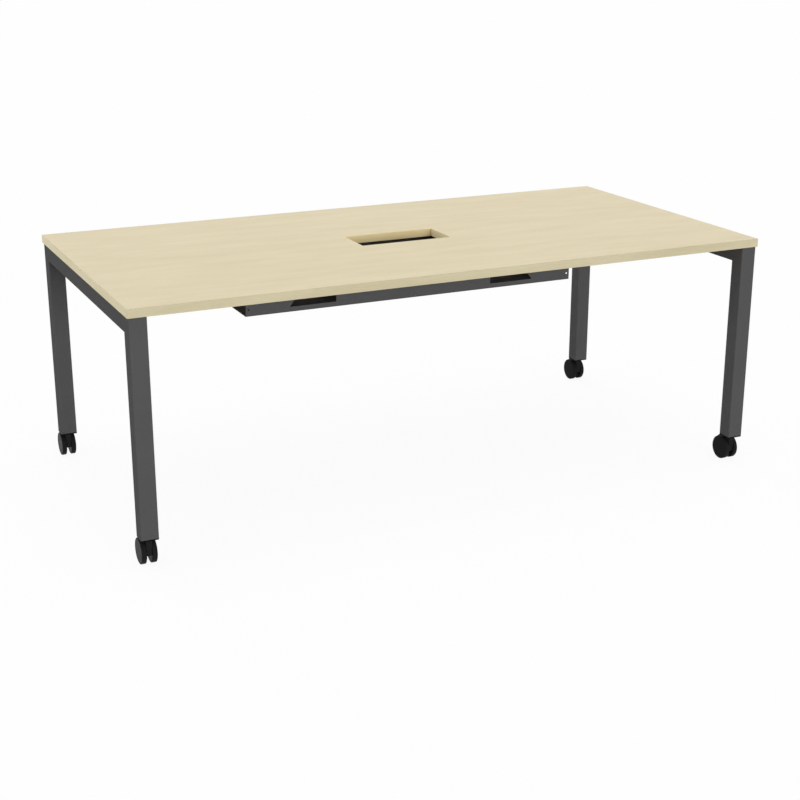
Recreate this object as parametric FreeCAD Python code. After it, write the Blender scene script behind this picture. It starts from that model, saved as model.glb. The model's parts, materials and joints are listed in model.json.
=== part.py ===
import FreeCAD, Part
import math
import os

# Mobile meeting table with a cable cut-out, a hung cable tray and twin-wheel casters.
# Millimetres, +Z up, X along the length, the front of the table towards -Y.

# Table top
TABLE_HEIGHT = 735.0
TOP_LENGTH = 2000.0
TOP_DEPTH = 1000.0
TOP_THICKNESS = 25.0
BAND_THICKNESS = 2.0
BAND_ROUNDING = 1.0
CUTOUT_LENGTH = 300.0
CUTOUT_DEPTH = 140.0

# End frames of square tube
TUBE = 50.0
TUBE_WALL = 2.0
TUBE_ROUNDING = 3.0
FRAME_INSET = 4.0

# Rails that join the end frames under the top, as high as the tube
RAIL_WIDTH = 25.0
RAIL_WALL = 2.0
RAIL_ROUNDING = 2.5
RAIL_SPREAD = 500.0
PLATE_THICKNESS = 5.0
PLATE_EDGE = 4.0
HEAD_TO_RAIL = 3.5

# Rail bolts and the rivet nuts they turn into
BOLT_RADIUS = 4.0
BOLT_HEAD_RADIUS = 6.5
BOLT_HEAD_HEIGHT = 8.0
BOLT_SOCKET_FLATS = 6.0
BOLT_SOCKET_DEPTH = 5.0
RIVET_NUT_WALL = 1.5
RIVET_NUT_LENGTH = 15.0
RIVET_COLLAR_WALL = 1.5
RIVET_COLLAR_LENGTH = 4.0

# Screws that hold the top on the frame
SCREW_RADIUS = 3.0
SCREW_HEAD_RADIUS = 5.5
SCREW_HEAD_HEIGHT = 4.0
SCREW_SOCKET_FLATS = 4.0
SCREW_SOCKET_DEPTH = 2.4
WASHER_RADIUS = 6.5
WASHER_THICKNESS = 1.6
INSERT_RADIUS = 5.0
INSERT_LENGTH = 15.0
TUBE_SCREW_REACH = 350.0
RAIL_SCREW_REACH = 600.0

# Folded cable tray
TRAY_LENGTH = 1100.0
TRAY_WIDTH = 250.0
TRAY_HEIGHT = 140.0
SHEET = 1.5
BEND_RADIUS = 1.5
FLANGE = 22.0
END_HOLE_RADIUS = 3.0
END_HOLE_INSET = 9.0
END_HOLE_HEIGHT = 20.5
WINDOW_START = 262.0
WINDOW_LENGTH = 150.0
WINDOW_BASE = 15.5
WINDOW_HEIGHT = 45.0
WINDOW_SLANT = 34.0

# Wood screws of the tray
TRAY_SCREW_COUNT = 5
TRAY_SCREW_INSET = 60.0
TRAY_SCREW_RADIUS = 2.0
TRAY_SCREW_LENGTH = 14.0
TRAY_SCREW_HEAD_RADIUS = 4.0
TRAY_SCREW_HEAD_HEIGHT = 2.6
TRAY_SCREW_SOCKET_FLATS = 3.0
TRAY_SCREW_SOCKET_DEPTH = 1.5

# Leg inserts and the nuts moulded into them
INSERT_FLANGE = 3.5
PLUG_HEIGHT = 30.0
PLUG_WALL = 3.0
PLUG_CLEARANCE = 0.2
CUP_ROUNDING = 1.0
NUT_FLATS = 17.0
NUT_HEIGHT = 8.0
NUT_SEAT = 4.0

# Caster stems
THREAD_RADIUS = 5.0
THREAD_SPARE = 4.0
COLLAR_FLATS = 17.0
COLLAR_HEIGHT = 3.8
PIVOT_RADIUS = 4.0

# Caster bodies
TRAIL = 24.0
WHEEL_TO_LEG = 8.0
BODY_WIDTH = 16.2
BODY_FRONT = 9.0
BODY_BEHIND_AXLE = 12.0
BODY_BASE = 32.0
BODY_ROUNDING = 2.0
HOOD_END_ANGLE = 30.0
WEB_THICKNESS = 13.8
PIVOT_FLOOR = 10.4

# Caster wheels
WHEEL_RADIUS = 37.5
WHEEL_THICKNESS = 15.0
WHEEL_CAP = 3.0
FACE_RADIUS = 31.0
SHOULDER_BULGE = 0.5
TREAD_WIDTH = 12.4
TREAD_DEPTH = 3.5
TREAD_ROUNDING = 1.2
AXLE_RADIUS = 3.0

# Fits and clearances
HOLE_CLEARANCE = 0.3
RUNNING_FIT = 0.05
SWIVEL_GAP = 0.1
BORE_END_GAP = 0.3
WHEEL_CLEARANCE = 0.6
HEAD_ROUNDING = 0.7
LEAST_ROUNDING = 0.5

# Heights and places that follow from the sizes above
TOP_UNDERSIDE = TABLE_HEIGHT - TOP_THICKNESS
FRAME_BASE = TOP_UNDERSIDE - TUBE
FRAME_MIDDLE = TOP_UNDERSIDE - TUBE / 2
FRAME_X = TOP_LENGTH / 2 - FRAME_INSET
FRAME_Y = TOP_DEPTH / 2 - FRAME_INSET
FRAME_INNER_X = FRAME_X - TUBE
LEG_X = FRAME_X - TUBE / 2
LEG_Y = FRAME_Y - TUBE / 2
CASTER_HEIGHT = 2 * WHEEL_RADIUS + WHEEL_TO_LEG
LEG_BASE = CASTER_HEIGHT + INSERT_FLANGE
RAIL_Y = RAIL_SPREAD / 2
RAIL_END = FRAME_INNER_X - PLATE_THICKNESS
BOLT_OFFSET = RAIL_WIDTH / 2 + HEAD_TO_RAIL + BOLT_HEAD_RADIUS
PLATE_HALF = BOLT_OFFSET + BOLT_HEAD_RADIUS + PLATE_EDGE
RIVET_NUT_RADIUS = BOLT_RADIUS + RIVET_NUT_WALL
TRAY_BASE = TOP_UNDERSIDE - TRAY_HEIGHT
TRAY_Y = TRAY_WIDTH / 2
LIP_Z = TOP_UNDERSIDE - SHEET
PLUG_FLOOR = LEG_BASE + NUT_SEAT + NUT_HEIGHT
COLLAR_BASE = CASTER_HEIGHT - COLLAR_HEIGHT
BODY_TOP = COLLAR_BASE - SWIVEL_GAP
PIVOT_BASE = BODY_BASE + PIVOT_FLOOR
WHEEL_INNER = WEB_THICKNESS / 2 + WHEEL_CLEARANCE
WHEEL_OFFSET = WHEEL_INNER + WHEEL_THICKNESS / 2
AXLE_REACH = WHEEL_THICKNESS - WHEEL_CAP
HOOD_RADIUS = BODY_TOP - WHEEL_RADIUS
HOOD_REACH = HOOD_RADIUS * math.cos(math.radians(HOOD_END_ANGLE))

# The origin is on the floor below the middle of the whole outline, trailing casters included
BACK_REACH = max(TOP_DEPTH / 2, LEG_Y + TRAIL + max(WHEEL_RADIUS, HOOD_REACH))
ORIGIN_Y = (BACK_REACH - TOP_DEPTH / 2) / 2

# Names of the sides, and how far a cutting shape runs past what it cuts
SIDES_X = {"left": -1, "right": 1}
SIDES_Y = {"front": -1, "back": 1}
MARGIN = 5.0
TINY = 1e-4

V = FreeCAD.Vector
ORIGIN = V(0, 0, 0)
ALONG_X = V(1, 0, 0)
ALONG_Y = V(0, 1, 0)
ALONG_Z = V(0, 0, 1)


# Basic shapes

def block(x, y, z):
    """Box between three pairs of limits, given in either order."""
    low = V(min(x), min(y), min(z))
    size = V(max(x), max(y), max(z)) - low
    return Part.makeBox(size.x, size.y, size.z, low)


def slab(half_x, half_y):
    """Box through the thickness of the top, centred on the table."""
    return block((-half_x, half_x), (-half_y, half_y), (TOP_UNDERSIDE, TABLE_HEIGHT))


def rod(radius, length, base, direction=ALONG_Z):
    return Part.makeCylinder(radius, length, base, direction)


def sleeve(outer, inner, length, base=ORIGIN):
    return rod(outer, length, base).cut(rod(inner, length, base))


def prism(points, path):
    """Flat polygon drawn out along a path."""
    return Part.Face(Part.makePolygon(points + points[:1])).extrude(path)


def hexagon(flats, length, base):
    """Upright hexagonal bar, measured across its flats."""
    reach = flats / math.sqrt(3)
    turns = [math.radians(60 * corner) for corner in range(6)]
    points = [base + V(reach * math.cos(turn), reach * math.sin(turn), 0) for turn in turns]
    return prism(points, V(0, 0, length))


def placed(shape, base, direction=ALONG_Z):
    """Copy of a shape made along +Z, turned along a direction and set at a base point."""
    copy = shape.copy()
    copy.Placement = FreeCAD.Placement(base, FreeCAD.Rotation(ALONG_Z, direction))
    return copy


def cut_all(shape, tools):
    return shape.cut(Part.makeCompound(tools))


def edges_along(shape, direction, wanted=lambda middle: True):
    """Straight edges that run along a direction and whose middle is wanted."""
    found = []
    for edge in shape.Edges:
        if isinstance(edge.Curve, Part.Line):
            run = edge.Vertexes[1].Point - edge.Vertexes[0].Point
            if run.cross(direction).Length < TINY and wanted(edge.CenterOfMass):
                found.append(edge)
    return found


def rounded_bar(width, depth, length, rounding):
    """Bar along +Z, centred on the Z axis, with rounded long edges."""
    bar = block((-width / 2, width / 2), (-depth / 2, depth / 2), (0, length))
    return bar.makeFillet(rounding, edges_along(bar, ALONG_Z))


def bore_rounding(rounding, wall):
    return max(rounding - wall, LEAST_ROUNDING)


def tube(width, depth, length, wall, rounding):
    outer = rounded_bar(width, depth, length, rounding)
    inner_rounding = bore_rounding(rounding, wall)
    return outer.cut(rounded_bar(width - 2 * wall, depth - 2 * wall, length, inner_rounding))


def socket_screw(shank, length, head_radius, head_height, socket_flats, socket_depth):
    """Screw along +Z from the bearing face of its head, which hangs below it."""
    head_base = V(0, 0, -head_height)
    head = rod(head_radius, head_height, head_base)
    rim = [edge for edge in head.Edges if edge.CenterOfMass.distanceToPoint(head_base) < TINY]
    head = head.makeFillet(HEAD_ROUNDING, rim)
    head = head.cut(hexagon(socket_flats, socket_depth, head_base))
    return head.fuse(rod(shank, length, ORIGIN)).removeSplitter()


def save(node, *solids):
    """Writes one node, as a group when it holds more than one solid."""
    shape = solids[0].copy() if len(solids) == 1 else Part.makeCompound(solids)
    shape.translate(V(0, -ORIGIN_Y, 0))
    shape.exportStep(os.path.join("parts", node + ".step"))


# Where the fasteners sit under the top, as (x, y)

def top_screws_of_tube(side_x):
    return [(side_x * LEG_X, reach) for reach in (-TUBE_SCREW_REACH, 0, TUBE_SCREW_REACH)]


def top_screws_of_rail(side_y):
    return [(reach, side_y * RAIL_Y) for reach in (-RAIL_SCREW_REACH, 0, RAIL_SCREW_REACH)]


def all_top_screws():
    spots = []
    for side_x in SIDES_X.values():
        spots += top_screws_of_tube(side_x)
    for side_y in SIDES_Y.values():
        spots += top_screws_of_rail(side_y)
    return spots


def all_tray_screws():
    first = TRAY_SCREW_INSET - TRAY_LENGTH / 2
    step = -2 * first / (TRAY_SCREW_COUNT - 1)
    rows = [side_y * (TRAY_Y + FLANGE / 2) for side_y in SIDES_Y.values()]
    return [(first + step * index, y) for y in rows for index in range(TRAY_SCREW_COUNT)]


def rail_bolt_rows():
    return [side * RAIL_Y + offset for side in SIDES_Y.values() for offset in (-BOLT_OFFSET, BOLT_OFFSET)]


def frame_screw_holes(spots):
    """Clearance holes through both walls of a frame tube."""
    length = TUBE + 2 * MARGIN
    return [rod(SCREW_RADIUS + HOLE_CLEARANCE, length, V(x, y, FRAME_BASE - MARGIN)) for x, y in spots]


# Table top: the board and the bands round its edge and its cut-out

def make_board(core_x, core_y, wall_x, wall_y):
    board = slab(core_x, core_y).cut(slab(wall_x, wall_y))
    pilot_depth = TRAY_SCREW_LENGTH - SHEET
    pockets = [rod(INSERT_RADIUS, INSERT_LENGTH, V(x, y, TOP_UNDERSIDE)) for x, y in all_top_screws()]
    for x, y in all_tray_screws():
        pockets.append(rod(TRAY_SCREW_RADIUS, pilot_depth, V(x, y, TOP_UNDERSIDE)))
    save("tabletop_board", cut_all(board, pockets))


def save_bands(name, ring, inner_x, inner_y, outer_x, outer_y, corner_x):
    """Cuts a ring of band into a front, back, left and right strip."""
    top = (TOP_UNDERSIDE, TABLE_HEIGHT)
    for side, sign in SIDES_Y.items():
        strip = block((-corner_x, corner_x), (sign * inner_y, sign * outer_y), top)
        save(name + "_" + side, ring.common(strip))
    for side, sign in SIDES_X.items():
        strip = block((sign * inner_x, sign * outer_x), (-inner_y, inner_y), top)
        save(name + "_" + side, ring.common(strip))


def make_table_top():
    outer_x = TOP_LENGTH / 2
    outer_y = TOP_DEPTH / 2
    core_x = outer_x - BAND_THICKNESS
    core_y = outer_y - BAND_THICKNESS
    hole_x = CUTOUT_LENGTH / 2
    hole_y = CUTOUT_DEPTH / 2
    wall_x = hole_x + BAND_THICKNESS
    wall_y = hole_y + BAND_THICKNESS
    make_board(core_x, core_y, wall_x, wall_y)

    whole = slab(outer_x, outer_y)
    edge_ring = whole.makeFillet(BAND_ROUNDING, whole.Edges).cut(slab(core_x, core_y))
    save_bands("edge_band", edge_ring, core_x, core_y, outer_x, outer_y, outer_x)

    def on_rim(middle):
        in_hole = abs(middle.x) < hole_x + TINY and abs(middle.y) < hole_y + TINY
        return in_hole and min(abs(middle.z - TOP_UNDERSIDE), abs(middle.z - TABLE_HEIGHT)) < TINY

    hole_ring = slab(wall_x, wall_y).cut(slab(hole_x, hole_y))
    rim = edges_along(hole_ring, ALONG_X, on_rim) + edges_along(hole_ring, ALONG_Y, on_rim)
    hole_ring = hole_ring.makeFillet(BAND_ROUNDING, rim)
    save_bands("cutout_band", hole_ring, hole_x, hole_y, wall_x, wall_y, wall_x)


# End frames: two legs and a cross tube, mitred at the top corners

def mitre(side_y, keep_corner):
    """Wedge on one side of a corner's 45 degree cut: the leg's side, or the cross tube's."""
    low = TUBE + MARGIN
    corner = [(-MARGIN, MARGIN), (low, -low), keep_corner]
    x = -FRAME_X - MARGIN
    points = [V(x, side_y * (FRAME_Y - inward), TOP_UNDERSIDE + up) for inward, up in corner]
    return prism(points, V(-2 * x, 0, 0))


def leg_wedge(side_y):
    return mitre(side_y, (-MARGIN, -TUBE - MARGIN))


def cross_wedge(side_y):
    return mitre(side_y, (TUBE + MARGIN, MARGIN))


def make_legs():
    blank = tube(TUBE, TUBE, TOP_UNDERSIDE - LEG_BASE, TUBE_WALL, TUBE_ROUNDING)
    for name_x, side_x in SIDES_X.items():
        for name_y, side_y in SIDES_Y.items():
            leg = placed(blank, V(side_x * LEG_X, side_y * LEG_Y, LEG_BASE))
            save("leg_" + name_y + "_" + name_x, leg.cut(cross_wedge(side_y)))


def make_cross_tubes():
    blank = tube(TUBE, TUBE, 2 * FRAME_Y, TUBE_WALL, TUBE_ROUNDING)
    for name_x, side_x in SIDES_X.items():
        cross = placed(blank, V(side_x * LEG_X, -FRAME_Y, FRAME_MIDDLE), ALONG_Y)
        tools = [leg_wedge(side_y) for side_y in SIDES_Y.values()]
        tools += frame_screw_holes(top_screws_of_tube(side_x))
        for y in rail_bolt_rows():
            start = V(side_x * (FRAME_INNER_X - MARGIN), y, FRAME_MIDDLE)
            tools.append(rod(RIVET_NUT_RADIUS, MARGIN + TUBE_WALL + MARGIN, start, V(side_x, 0, 0)))
        save("cross_tube_" + name_x, cut_all(cross, tools))


# Rails with end plates, bolted to rivet nuts in the cross tubes

def make_rails():
    blank = tube(TUBE, RAIL_WIDTH, 2 * RAIL_END, RAIL_WALL, RAIL_ROUNDING)
    for name_y, side_y in SIDES_Y.items():
        rail = placed(blank, V(-RAIL_END, side_y * RAIL_Y, FRAME_MIDDLE), ALONG_X)
        save("rail_" + name_y, cut_all(rail, frame_screw_holes(top_screws_of_rail(side_y))))


def end_plate(side_x, side_y):
    middle = side_y * RAIL_Y
    x_limits = (side_x * RAIL_END, side_x * FRAME_INNER_X)
    plate = block(x_limits, (middle - PLATE_HALF, middle + PLATE_HALF), (FRAME_BASE, TOP_UNDERSIDE))
    holes = []
    for offset in (-BOLT_OFFSET, BOLT_OFFSET):
        start = V(side_x * RAIL_END, middle + offset, FRAME_MIDDLE)
        holes.append(rod(BOLT_RADIUS + HOLE_CLEARANCE, PLATE_THICKNESS, start, V(side_x, 0, 0)))
    return cut_all(plate, holes)


def make_rail_joints():
    bolt_length = PLATE_THICKNESS + RIVET_NUT_LENGTH
    bolt = socket_screw(
        BOLT_RADIUS, bolt_length, BOLT_HEAD_RADIUS, BOLT_HEAD_HEIGHT, BOLT_SOCKET_FLATS, BOLT_SOCKET_DEPTH
    )
    collar_radius = RIVET_NUT_RADIUS + RIVET_COLLAR_WALL
    collar = sleeve(collar_radius, BOLT_RADIUS, RIVET_COLLAR_LENGTH, V(0, 0, TUBE_WALL))
    rivet_nut = sleeve(RIVET_NUT_RADIUS, BOLT_RADIUS, RIVET_NUT_LENGTH).fuse(collar).removeSplitter()
    plates = []
    bolts = []
    rivet_nuts = []
    for side_x in SIDES_X.values():
        outward = V(side_x, 0, 0)
        plates += [end_plate(side_x, side_y) for side_y in SIDES_Y.values()]
        for y in rail_bolt_rows():
            bolts.append(placed(bolt, V(side_x * RAIL_END, y, FRAME_MIDDLE), outward))
            rivet_nuts.append(placed(rivet_nut, V(side_x * FRAME_INNER_X, y, FRAME_MIDDLE), outward))
    save("rail_end_plates", *plates)
    save("rail_bolts", *bolts)
    save("rail_rivet_nuts", *rivet_nuts)


# Long screws, washers and threaded inserts that hold the top on the frame

def make_top_fasteners():
    length = WASHER_THICKNESS + TUBE + INSERT_LENGTH
    screw = socket_screw(
        SCREW_RADIUS, length, SCREW_HEAD_RADIUS, SCREW_HEAD_HEIGHT, SCREW_SOCKET_FLATS, SCREW_SOCKET_DEPTH
    )
    washer = sleeve(WASHER_RADIUS, SCREW_RADIUS + HOLE_CLEARANCE, WASHER_THICKNESS)
    insert = sleeve(INSERT_RADIUS, SCREW_RADIUS, INSERT_LENGTH)
    head_z = FRAME_BASE - WASHER_THICKNESS
    spots = all_top_screws()
    save("top_screws", *[placed(screw, V(x, y, head_z)) for x, y in spots])
    save("top_screw_washers", *[placed(washer, V(x, y, head_z)) for x, y in spots])
    save("top_inserts", *[placed(insert, V(x, y, TOP_UNDERSIDE)) for x, y in spots])


# Cable tray folded from one sheet, with screw holes, end holes and cable windows

def folded_sheet():
    """Channel with flanges turned outwards, its bends rounded inside and out."""
    inner_y = TRAY_Y - SHEET
    lip_y = TRAY_Y + FLANGE
    floor_z = TRAY_BASE + SHEET
    half = [
        (TRAY_Y, TRAY_BASE),
        (TRAY_Y, LIP_Z),
        (lip_y, LIP_Z),
        (lip_y, TOP_UNDERSIDE),
        (inner_y, TOP_UNDERSIDE),
        (inner_y, floor_z),
    ]
    section = half + [(-y, z) for y, z in reversed(half)]
    sheet = prism([V(-TRAY_LENGTH / 2, y, z) for y, z in section], V(TRAY_LENGTH, 0, 0))
    inner_bends = [(inner_y, floor_z), (TRAY_Y, LIP_Z)]
    outer_bends = [(TRAY_Y, TRAY_BASE), (inner_y, TOP_UNDERSIDE)]
    for radius, bends in ((BEND_RADIUS, inner_bends), (BEND_RADIUS + SHEET, outer_bends)):
        def at_bend(middle):
            return any(abs(abs(middle.y) - y) + abs(middle.z - z) < TINY for y, z in bends)
        sheet = sheet.makeFillet(radius, edges_along(sheet, ALONG_X, at_bend))
    return sheet


def make_tray():
    across = V(0, TRAY_WIDTH + 2 * MARGIN, 0)
    start_y = -TRAY_Y - MARGIN
    window_end = WINDOW_START + WINDOW_LENGTH
    window = [
        (WINDOW_START, 0),
        (window_end, 0),
        (window_end - WINDOW_SLANT, WINDOW_HEIGHT),
        (WINDOW_START, WINDOW_HEIGHT),
    ]
    hole_x = TRAY_LENGTH / 2 - END_HOLE_INSET
    hole_z = TRAY_BASE + END_HOLE_HEIGHT
    window_z = TRAY_BASE + WINDOW_BASE
    tools = [rod(TRAY_SCREW_RADIUS + HOLE_CLEARANCE, SHEET, V(x, y, LIP_Z)) for x, y in all_tray_screws()]
    for side_x in SIDES_X.values():
        tools.append(rod(END_HOLE_RADIUS, across.y, V(side_x * hole_x, start_y, hole_z), ALONG_Y))
        tools.append(prism([V(side_x * x, start_y, window_z + up) for x, up in window], across))
    save("cable_tray", cut_all(folded_sheet(), tools))


def make_tray_screws():
    screw = socket_screw(
        TRAY_SCREW_RADIUS,
        TRAY_SCREW_LENGTH,
        TRAY_SCREW_HEAD_RADIUS,
        TRAY_SCREW_HEAD_HEIGHT,
        TRAY_SCREW_SOCKET_FLATS,
        TRAY_SCREW_SOCKET_DEPTH,
    )
    save("tray_screws", *[placed(screw, V(x, y, LIP_Z)) for x, y in all_tray_screws()])


# Casters, made with the stem on the Z axis and the wheels trailing towards +Y

def leg_insert():
    """Flange under the leg and a cup that plugs its bore, with a hexagonal pocket for the nut."""
    plug_size = TUBE - 2 * TUBE_WALL - 2 * PLUG_CLEARANCE
    cup_size = plug_size - 2 * PLUG_WALL
    plug = rounded_bar(plug_size, plug_size, PLUG_HEIGHT, bore_rounding(TUBE_ROUNDING, TUBE_WALL))
    cup = rounded_bar(cup_size, cup_size, PLUG_HEIGHT, CUP_ROUNDING)
    plug = placed(plug, V(0, 0, LEG_BASE)).cut(placed(cup, V(0, 0, PLUG_FLOOR)))
    flange = placed(rounded_bar(TUBE, TUBE, INSERT_FLANGE, TUBE_ROUNDING), V(0, 0, CASTER_HEIGHT))
    nut_pocket = hexagon(NUT_FLATS, NUT_HEIGHT, V(0, 0, PLUG_FLOOR - NUT_HEIGHT))
    stem_hole = rod(THREAD_RADIUS + HOLE_CLEARANCE, PLUG_FLOOR - CASTER_HEIGHT, V(0, 0, CASTER_HEIGHT))
    return flange.fuse(plug).removeSplitter().cut(nut_pocket).cut(stem_hole)


def caster_nut():
    base = V(0, 0, PLUG_FLOOR - NUT_HEIGHT)
    return hexagon(NUT_FLATS, NUT_HEIGHT, base).cut(rod(THREAD_RADIUS, NUT_HEIGHT, base))


def caster_stem():
    thread = rod(THREAD_RADIUS, PLUG_FLOOR + THREAD_SPARE - CASTER_HEIGHT, V(0, 0, CASTER_HEIGHT))
    collar = hexagon(COLLAR_FLATS, COLLAR_HEIGHT, V(0, 0, COLLAR_BASE))
    pivot = rod(PIVOT_RADIUS, COLLAR_BASE - PIVOT_BASE, V(0, 0, PIVOT_BASE))
    return thread.fuse(collar).fuse(pivot).removeSplitter()


def axle_point(offset_x=0):
    return V(offset_x, TRAIL, WHEEL_RADIUS)


def caster_axle():
    half = WHEEL_INNER + AXLE_REACH - BORE_END_GAP
    return rod(AXLE_RADIUS, 2 * half, axle_point(-half), ALONG_X)


def lens(grown):
    """Wheel with flat faces and rounded shoulders, turned about X and grown on every side."""
    half = WHEEL_THICKNESS / 2 + grown
    edge = TREAD_WIDTH / 2 + grown
    face_end = V(half, FACE_RADIUS + grown, 0)
    rim = V(edge, WHEEL_RADIUS + grown, 0)
    bulge = V(SHOULDER_BULGE, SHOULDER_BULGE, 0)
    shoulder = Part.Arc(face_end, (face_end + rim) / 2 + bulge, rim).toShape()
    outline = [
        Part.makeLine(V(-half, 0, 0), V(half, 0, 0)),
        Part.makeLine(V(half, 0, 0), face_end),
        shoulder,
        Part.makeLine(rim, V(-edge, rim.y, 0)),
        shoulder.mirror(ORIGIN, ALONG_X),
        Part.makeLine(V(-half, face_end.y, 0), V(-half, 0, 0)),
    ]
    return Part.Face(Part.Wire(Part.__sortEdges__(outline))).revolve(ORIGIN, ALONG_X, 360)


def wheel_and_tread(side_x):
    """A wheel with a blind bore from its inner face, and the tread round it."""
    whole = lens(0)

    def is_corner(edge):
        return isinstance(edge.Curve, Part.Circle) and abs(edge.Curve.Radius - WHEEL_RADIUS) < TINY

    whole = whole.makeFillet(TREAD_ROUNDING, [edge for edge in whole.Edges if is_corner(edge)])
    whole = placed(whole, axle_point(side_x * WHEEL_OFFSET))
    outward = V(side_x, 0, 0)
    inner_face = axle_point(side_x * (WHEEL_INNER - MARGIN))
    core = rod(WHEEL_RADIUS - TREAD_DEPTH, WHEEL_THICKNESS + 2 * MARGIN, inner_face, outward)
    bore = rod(AXLE_RADIUS + RUNNING_FIT, MARGIN + AXLE_REACH, inner_face, outward)
    return whole.common(core).cut(bore), whole.cut(core)


def on_hood(x, degrees):
    """Point of the hood's outline, by its angle up from the level line behind the axle."""
    angle = math.radians(degrees)
    return V(x, TRAIL + HOOD_RADIUS * math.cos(angle), WHEEL_RADIUS + HOOD_RADIUS * math.sin(angle))


def caster_body():
    """Upright housing round the stem and a hood over the axle, hollowed to clear the wheels."""
    x = -BODY_WIDTH / 2
    front_low = V(x, -BODY_FRONT, BODY_BASE)
    front_high = V(x, -BODY_FRONT, BODY_TOP)
    hood_start = on_hood(x, 90)
    hood_middle = on_hood(x, (90 + HOOD_END_ANGLE) / 2)
    hood_end = on_hood(x, HOOD_END_ANGLE)
    back_low = V(x, TRAIL + BODY_BEHIND_AXLE, BODY_BASE)
    outline = Part.Wire([
        Part.makeLine(front_low, front_high),
        Part.makeLine(front_high, hood_start),
        Part.Arc(hood_start, hood_middle, hood_end).toShape(),
        Part.makeLine(hood_end, back_low),
        Part.makeLine(back_low, front_low),
    ])
    body = Part.Face(outline).extrude(V(BODY_WIDTH, 0, 0))
    front_edges = edges_along(body, ALONG_Z, lambda middle: middle.y < 0)
    body = body.makeFillet(BODY_ROUNDING, front_edges)
    cavity = lens(WHEEL_CLEARANCE)
    for side_x in SIDES_X.values():
        body = body.cut(placed(cavity, axle_point(side_x * WHEEL_OFFSET)))
    bore_base = PIVOT_BASE - BORE_END_GAP
    bore = rod(PIVOT_RADIUS + RUNNING_FIT, BODY_TOP + MARGIN - bore_base, V(0, 0, bore_base))
    return body.cut(bore).cut(caster_axle())


def make_casters():
    pieces = {
        "leg_insert_{}": leg_insert(),
        "caster_{}_stem": caster_stem(),
        "caster_{}_body": caster_body(),
        "caster_{}_axle": caster_axle(),
    }
    for name_x, side_x in SIDES_X.items():
        wheel, tread = wheel_and_tread(side_x)
        pieces["caster_{}_wheel_" + name_x] = wheel
        pieces["caster_{}_tread_" + name_x] = tread
    nuts = []
    for name_x, side_x in SIDES_X.items():
        for name_y, side_y in SIDES_Y.items():
            leg_at = V(side_x * LEG_X, side_y * LEG_Y, 0)
            for name, piece in pieces.items():
                save(name.format(name_y + "_" + name_x), piece.translated(leg_at))
            nuts.append(caster_nut().translated(leg_at))
    save("caster_nuts", *nuts)


os.makedirs("parts", exist_ok=True)
make_table_top()
make_legs()
make_cross_tubes()
make_rails()
make_rail_joints()
make_top_fasteners()
make_tray()
make_tray_screws()
make_casters()
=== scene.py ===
"""Looks of a mobile meeting table: procedural finishes, a plain studio and the camera.

Everything is in metres, in the model's own frame: X along the table, Y to the back, Z up, floor at zero.
"""

import json
import math

import bpy
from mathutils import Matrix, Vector

X_AXIS = 0
Y_AXIS = 1
WHITE = (1.0, 1.0, 1.0, 1.0)

# Noise: its usual detail, its roughness, and the middle span of its values
NOISE_DETAIL = 2.0
NOISE_ROUGHNESS = 0.55
MIDDLE_SPAN = (0.3, 0.7)

# Sockets of the colour mix node, by number because several share a name
MIX_SHARE = 0
MIX_FIRST = 6
MIX_SECOND = 7
MIX_RESULT = 2

# Maple decor: the axis of the grain, and the darkest and lightest colour in linear light. The bands are the
# laminate's own decor, each tinted apart from it as painted light and shade.
MAPLES = {
    "laminate": {"grain": X_AXIS, "dark": (0.683, 0.585, 0.380), "light": (0.745, 0.653, 0.438)},
    # Painted shade: the outer bands are darker than the laminate, the long ones most, to offset the strong
    # front and back lamps on them
    "long_band": {"grain": X_AXIS, "dark": (0.435, 0.385, 0.244), "light": (0.498, 0.447, 0.305)},
    "end_band": {"grain": Y_AXIS, "dark": (0.541, 0.470, 0.281), "light": (0.610, 0.546, 0.352)},
    # Painted light: the cut-out bands are lighter than the outer ones, the end ones lighter than the
    # laminate, to offset the shade inside the cut-out
    "cutout_long_band": {"grain": X_AXIS, "dark": (0.663, 0.535, 0.280), "light": (0.728, 0.605, 0.345)},
    "cutout_end_band": {"grain": Y_AXIS, "dark": (0.780, 0.660, 0.400), "light": (0.840, 0.735, 0.470)},
}

# Marks of the decor: length along the grain, width across it, noise detail and span, and how they darken it
FIGURE = {"length": 0.26, "width": 0.045, "detail": 4.0, "span": (0.25, 0.75)}
STREAKS = {"length": 0.055, "width": 0.0032, "detail": 3.0, "span": (0.32, 0.60), "shade": 0.965}
PORES = {"length": 0.009, "width": 0.0006, "detail": 1.0, "span": (0.26, 0.38), "shade": 0.90}
PORE_DEPTH = 0.00008
DECOR_IOR = 1.48
DECOR_GLOSS = 0.35
DECOR_ROUGHNESS = (0.42, 0.52)

# Powder coat: a pebbled skin with large, faint clouds
COAT_DARK = (0.065, 0.064, 0.066)
COAT_LIGHT = (0.079, 0.078, 0.080)
COAT_GLOSS = 0.001
COAT_ROUGHNESS = (0.52, 0.64)
PEBBLE_SIZE = 0.0011
PEBBLE_DEPTH = 0.00012
CLOUD_SIZE = 0.12
CLOUD_SHADE = 0.95

# Black mouldings: darkest and lightest grey, gloss, roughness, and the size and depth of their grain
MOULDINGS = {
    "nylon": {"greys": (0.006, 0.010), "gloss": 0.022, "rough": (0.30, 0.39), "grain": (0.0009, 0.00004)},
    # Painted light: the caster housings are the wheels' black nylon, made lighter to offset the shade under
    # the leg
    "housing": {"greys": (0.009, 0.016), "gloss": 0.03, "rough": (0.40, 0.49), "grain": (0.0009, 0.00006)},
    "tread": {"greys": (0.008, 0.014), "gloss": 0.03, "rough": (0.42, 0.51), "grain": (0.0007, 0.00008)},
    "insert": {"greys": (0.0015, 0.003), "gloss": 0.035, "rough": (0.38, 0.47), "grain": (0.0008, 0.00008)},
}
GLOSS_PATCH = 0.018

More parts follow.
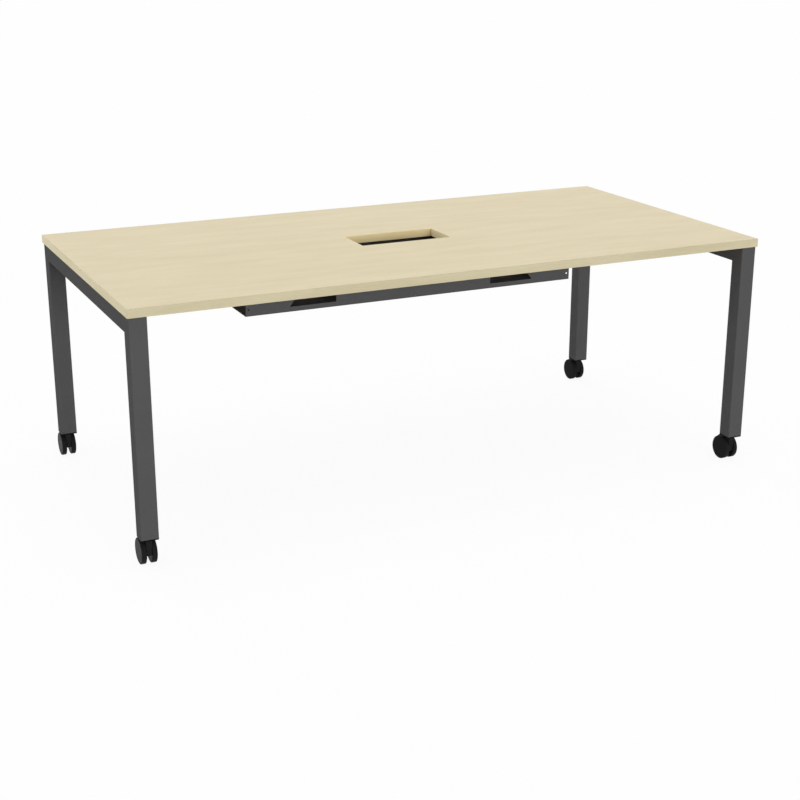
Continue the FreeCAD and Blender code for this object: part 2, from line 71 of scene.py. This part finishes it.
# Zinc plate on turned steel
ZINC_DARK = (0.50, 0.51, 0.52)
ZINC_LIGHT = (0.68, 0.68, 0.67)
ZINC_ROUGHNESS = (0.28, 0.42)
SPANGLE_SIZE = 0.0022
SPANGLE_DETAIL = 3.0
SCRATCH_SIZES = (0.004, 0.004, 0.0003)
SCRATCH_DEPTH = 0.00004

# Studio: lamps by the direction they stand in, with their spread in degrees
FLOOR_SIDE = 400.0
FLOOR_COLOUR = (0.90, 0.90, 0.90, 1.0)
FLOOR_WHITE_SHARE = 0.92
SKY_STRENGTH = 0.50
LAMPS = {
    "front": {"towards": (0.12, -0.985, 0.12), "strength": 2.15, "spread": 22.0},
    "back": {"towards": (-0.12, 0.985, 0.12), "strength": 2.15, "spread": 22.0},
    "left": {"towards": (-0.997, 0.0, 0.07), "strength": 0.75, "spread": 9.0},
    "right": {"towards": (0.997, 0.0, 0.07), "strength": 0.75, "spread": 9.0},
    "overhead": {"towards": (0.0, 0.0, 1.0), "strength": 0.90, "spread": 60.0},
}

# Camera, with its angles in degrees and its lens in millimetres
CAMERA_PLACE = (-1.9268, -4.15095, 1.72345)
CAMERA_PITCH = -18.49
CAMERA_YAW = -25.07
CAMERA_LENS = 66.94
CAMERA_SENSOR = 36.0


def opaque(colour):
    return (*colour, 1.0)


def grey(value):
    return (value, value, value, 1.0)


def along_grain(axis, mark):
    """Sizes of a mark along X, Y and Z, when the grain follows this axis."""
    sizes = [mark["width"]] * 3
    sizes[axis] = mark["length"]
    return sizes


class Nodes:
    """A node tree in the making: adds nodes and joins their sockets."""

    def __init__(self, tree):
        self.tree = tree

    def feed(self, socket, value):
        """Joins another socket to this one, or sets it to a fixed value."""
        if isinstance(value, bpy.types.NodeSocket):
            self.tree.links.new(value, socket)
        else:
            socket.default_value = value

    def add(self, kind, inputs, **settings):
        made = self.tree.nodes.new(kind)
        for name, value in settings.items():
            setattr(made, name, value)
        for socket, value in inputs.items():
            self.feed(made.inputs[socket], value)
        return made

    def seen_directly(self):
        """One for rays from the camera, a reflection or glass, and zero for light that falls on things."""
        path = self.add("ShaderNodeLightPath", {})
        seen = path.outputs["Is Camera Ray"]
        for name in ("Is Glossy Ray", "Is Transmission Ray"):
            larger = self.add("ShaderNodeMath", {0: seen, 1: path.outputs[name]}, operation="MAXIMUM")
            seen = larger.outputs[0]
        return seen


class Paint(Nodes):
    """A material in the making, whose colour, roughness and bump come from noise."""

    def __init__(self, name, constants):
        self.material = bpy.data.materials.new(name)
        self.material.use_nodes = True
        super().__init__(self.material.node_tree)
        self.shader = self.tree.nodes["Principled BSDF"]
        for socket, value in constants.items():
            self.feed(self.shader.inputs[socket], value)

    def noise(self, sizes, detail=NOISE_DETAIL):
        """Noise whose blotches are about this long along X, Y and Z."""
        place = self.add("ShaderNodeTexCoord", {}).outputs["Object"]
        scale = Vector([1.0 / size for size in sizes])
        mapped = self.add("ShaderNodeMapping", {"Vector": place, "Scale": scale}).outputs["Vector"]
        inputs = {"Vector": mapped, "Scale": 1.0, "Detail": detail, "Roughness": NOISE_ROUGHNESS}
        return self.add("ShaderNodeTexNoise", inputs).outputs["Fac"]

    def ramp(self, factor, low, high, span=MIDDLE_SPAN):
        """A colour that goes from low to high as factor goes through the span."""
        made = self.add("ShaderNodeValToRGB", {"Fac": factor})
        for element, position, colour in zip(made.color_ramp.elements, span, (low, high)):
            element.position = position
            element.color = colour
        return made.outputs["Color"]

    def level(self, factor, limits):
        """A number that goes from the lower to the upper limit as factor goes through its middle span."""
        start, end = MIDDLE_SPAN
        low, high = limits
        inputs = {"Value": factor, "From Min": start, "From Max": end, "To Min": low, "To Max": high}
        return self.add("ShaderNodeMapRange", inputs).outputs["Result"]

    def darken(self, colour, factor, shade, span=MIDDLE_SPAN):
        """The colour, times a shade where factor is low."""
        inputs = {MIX_SHARE: 1.0, MIX_FIRST: colour, MIX_SECOND: self.ramp(factor, grey(shade), WHITE, span)}
        return self.add("ShaderNodeMix", inputs, data_type="RGBA", blend_type="MULTIPLY").outputs[MIX_RESULT]

    def finish(self, colour, roughness, height, depth):
        """Joins the colour, the roughness and a bump of this depth to the shader."""
        bump = self.add("ShaderNodeBump", {"Height": height, "Distance": depth}).outputs["Normal"]
        self.feed(self.shader.inputs["Base Color"], colour)
        self.feed(self.shader.inputs["Roughness"], roughness)
        self.feed(self.shader.inputs["Normal"], bump)
        return self.material


def maple(name, grain, dark, light):
    """A printed maple decor: a broad figure, fine streaks and short pores, all along one axis."""
    paint = Paint(name, {"IOR": DECOR_IOR, "Specular IOR Level": DECOR_GLOSS})
    figure, streaks, pores = [
        paint.noise(along_grain(grain, mark), mark["detail"]) for mark in (FIGURE, STREAKS, PORES)
    ]
    colour = paint.ramp(figure, opaque(dark), opaque(light), FIGURE["span"])
    colour = paint.darken(colour, streaks, STREAKS["shade"], STREAKS["span"])
    colour = paint.darken(colour, pores, PORES["shade"], PORES["span"])
    return paint.finish(colour, paint.level(streaks, DECOR_ROUGHNESS), pores, PORE_DEPTH)


def powder_coat(name):
    """Dark grey powder coat: a fine pebbled skin with a little cloudiness."""
    paint = Paint(name, {"Specular IOR Level": COAT_GLOSS})
    pebbles = paint.noise([PEBBLE_SIZE] * 3)
    clouds = paint.noise([CLOUD_SIZE] * 3)
    colour = paint.ramp(pebbles, opaque(COAT_DARK), opaque(COAT_LIGHT))
    colour = paint.darken(colour, clouds, CLOUD_SHADE)
    return paint.finish(colour, paint.level(pebbles, COAT_ROUGHNESS), pebbles, PEBBLE_DEPTH)


def moulded(name, greys, gloss, rough, grain):
    """Moulded plastic or tread: a fine grain and a slightly uneven gloss."""
    paint = Paint(name, {"Specular IOR Level": gloss})
    size, depth = grain
    speckle = paint.noise([size] * 3)
    patches = paint.noise([GLOSS_PATCH] * 3)
    dark, light = greys
    colour = paint.ramp(speckle, grey(dark), grey(light))
    return paint.finish(colour, paint.level(patches, rough), speckle, depth)


def zinc(name):
    """Bright zinc plate: a spangled colour and fine turning marks."""
    paint = Paint(name, {"Metallic": 1.0})
    spangle = paint.noise([SPANGLE_SIZE] * 3, SPANGLE_DETAIL)
    scratches = paint.noise(SCRATCH_SIZES)
    colour = paint.ramp(spangle, opaque(ZINC_DARK), opaque(ZINC_LIGHT))
    return paint.finish(colour, paint.level(spangle, ZINC_ROUGHNESS), scratches, SCRATCH_DEPTH)


def make_finishes():
    """All the finishes, by name."""
    finishes = {"grey_powder_coat": powder_coat("grey_powder_coat"), "zinc_steel": zinc("zinc_steel")}
    for kind, facts in MAPLES.items():
        finishes["maple_" + kind] = maple("maple_" + kind, **facts)
    for kind, facts in MOULDINGS.items():
        finishes["black_" + kind] = moulded("black_" + kind, **facts)
    return finishes


def finish_name(node, slot):
    """The finish of a node: that of its material slot, or for bands and caster housings a tinted copy that
    carries painted light and shade.
    """
    if slot == "maple_edge":
        place = "cutout_" if node.startswith("cutout") else ""
        side = "end" if node.endswith(("_left", "_right")) else "long"
        return "maple_" + place + side + "_band"
    # Caster housings get the lighter nylon copy, which carries painted light
    if slot == "black_nylon" and node.endswith("_body"):
        return "black_housing"
    return slot


def dress_nodes(frame):
    finishes = make_finishes()
    for part in frame["record"]["subparts"]:
        node = part["node"]
        finish = finishes[finish_name(node, part["material_slot"])]
        frame["nodes"][node].material_slots[0].material = finish


def make_floor():
    """A pale floor that keeps a faint shadow of the table and otherwise shows as white."""
    half = FLOOR_SIDE / 2
    mesh = bpy.data.meshes.new("floor")
    corners = [(-half, -half, 0.0), (half, -half, 0.0), (half, half, 0.0), (-half, half, 0.0)]
    mesh.from_pydata(corners, [], [(0, 1, 2, 3)])
    floor = bpy.data.objects.new("floor", mesh)
    bpy.context.scene.collection.objects.link(floor)

    material = bpy.data.materials.new("floor")
    material.use_nodes = True
    nodes = Nodes(material.node_tree)
    nodes.tree.nodes.clear()
    matt = nodes.add("ShaderNodeBsdfDiffuse", {"Color": FLOOR_COLOUR}).outputs[0]
    white = nodes.add("ShaderNodeEmission", {"Color": WHITE, "Strength": 1.0}).outputs[0]
    factors = {0: nodes.seen_directly(), 1: FLOOR_WHITE_SHARE}
    share = nodes.add("ShaderNodeMath", factors, operation="MULTIPLY").outputs[0]
    blend = nodes.add("ShaderNodeMixShader", {0: share, 1: matt, 2: white}).outputs[0]
    nodes.add("ShaderNodeOutputMaterial", {"Surface": blend})
    mesh.materials.append(material)


def make_world():
    """An even sky that lights the table from all round and shows as plain white."""
    world = bpy.data.worlds.new("studio")
    world.use_nodes = True
    nodes = Nodes(world.node_tree)
    nodes.tree.nodes.clear()
    light = nodes.add("ShaderNodeBackground", {"Color": WHITE, "Strength": SKY_STRENGTH}).outputs[0]
    white = nodes.add("ShaderNodeBackground", {"Color": WHITE, "Strength": 1.0}).outputs[0]
    blend = nodes.add("ShaderNodeMixShader", {0: nodes.seen_directly(), 1: light, 2: white}).outputs[0]
    nodes.add("ShaderNodeOutputWorld", {"Surface": blend})
    bpy.context.scene.world = world


def make_lamps():
    """Broad, far lights that are even everywhere. Reflections show the white room, without the lamps."""
    for name, facts in LAMPS.items():
        lamp = bpy.data.lights.new(name, "SUN")
        lamp.energy = facts["strength"]
        lamp.angle = math.radians(facts["spread"])
        holder = bpy.data.objects.new(name, lamp)
        holder.rotation_euler = Vector(facts["towards"]).to_track_quat("Z", "Y").to_euler()
        holder.visible_glossy = False
        bpy.context.scene.collection.objects.link(holder)


def make_camera():
    data = bpy.data.cameras.new("camera")
    data.lens = CAMERA_LENS
    data.sensor_width = CAMERA_SENSOR
    camera = bpy.data.objects.new("camera", data)
    camera.location = CAMERA_PLACE
    camera.rotation_euler = (math.radians(90 + CAMERA_PITCH), 0.0, math.radians(CAMERA_YAW))
    bpy.context.scene.collection.objects.link(camera)
    bpy.context.scene.camera = camera


with open("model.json") as file:
    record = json.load(file)
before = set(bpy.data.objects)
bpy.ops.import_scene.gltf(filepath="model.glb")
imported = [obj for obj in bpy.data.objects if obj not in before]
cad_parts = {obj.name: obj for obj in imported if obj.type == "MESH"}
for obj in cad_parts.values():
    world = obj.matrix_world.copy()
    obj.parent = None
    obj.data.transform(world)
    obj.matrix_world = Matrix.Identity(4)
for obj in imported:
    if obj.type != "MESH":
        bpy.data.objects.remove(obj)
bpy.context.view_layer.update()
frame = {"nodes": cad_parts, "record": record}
bpy.context.scene.view_settings.view_transform = "Standard"
dress_nodes(frame)
make_floor()
make_world()
make_lamps()
make_camera()
